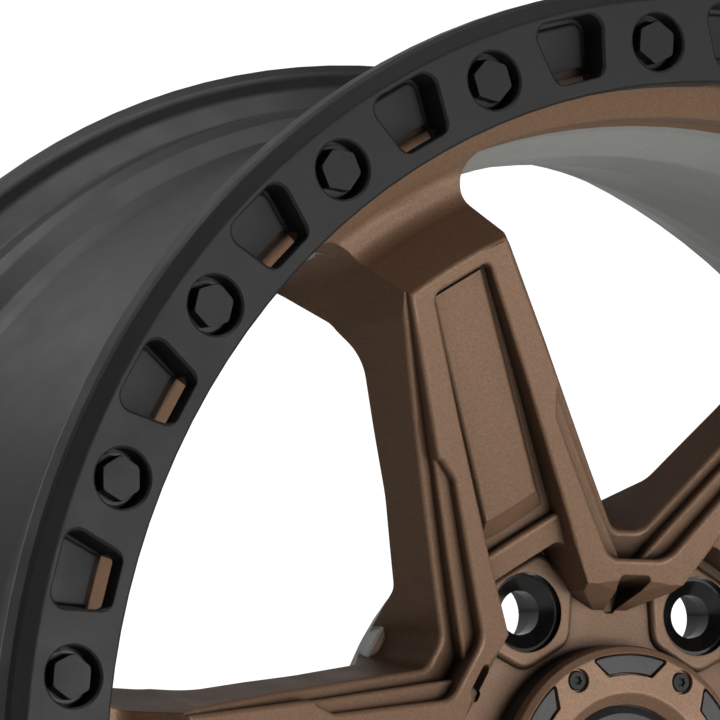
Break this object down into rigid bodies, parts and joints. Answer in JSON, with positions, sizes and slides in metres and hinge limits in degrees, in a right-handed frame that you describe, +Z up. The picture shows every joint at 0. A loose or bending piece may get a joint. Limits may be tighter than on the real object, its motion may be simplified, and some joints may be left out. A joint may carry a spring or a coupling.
{
  "type": "alloy wheel",
  "caption": "Cast alloy off-road wheel, deep concave face with stepped spokes, black bolted ring on the front flange, bolted centre cap.",
  "frame": {"origin": "centre of the hub mounting pad, on the wheel axis", "axes": "+Y along the wheel axis towards the vehicle, the face looks to -Y, +Z up"},
  "size_m": [0.5487, 0.262, 0.5488],
  "materials": {
    "bronze_paint": "satin",
    "black_paint": "satin",
    "black_bolt": "satin",
    "cap_bronze": "satin",
    "black_plastic": "satin",
    "seal_rubber": "matte"
  },
  "bodies": {
    "root": {"wheel_casting": "bronze_paint", "outer_ring": "black_paint", "ring_bolts": "black_bolt", "ring_bolt_washers": "black_bolt", "cap_base": "black_plastic", "cap_cover": "cap_bronze", "cap_inserts": "black_plastic", "cap_screws": "black_bolt", "cap_disc": "black_plastic", "cap_seal": "seal_rubber"}
  },
  "joints": []
}
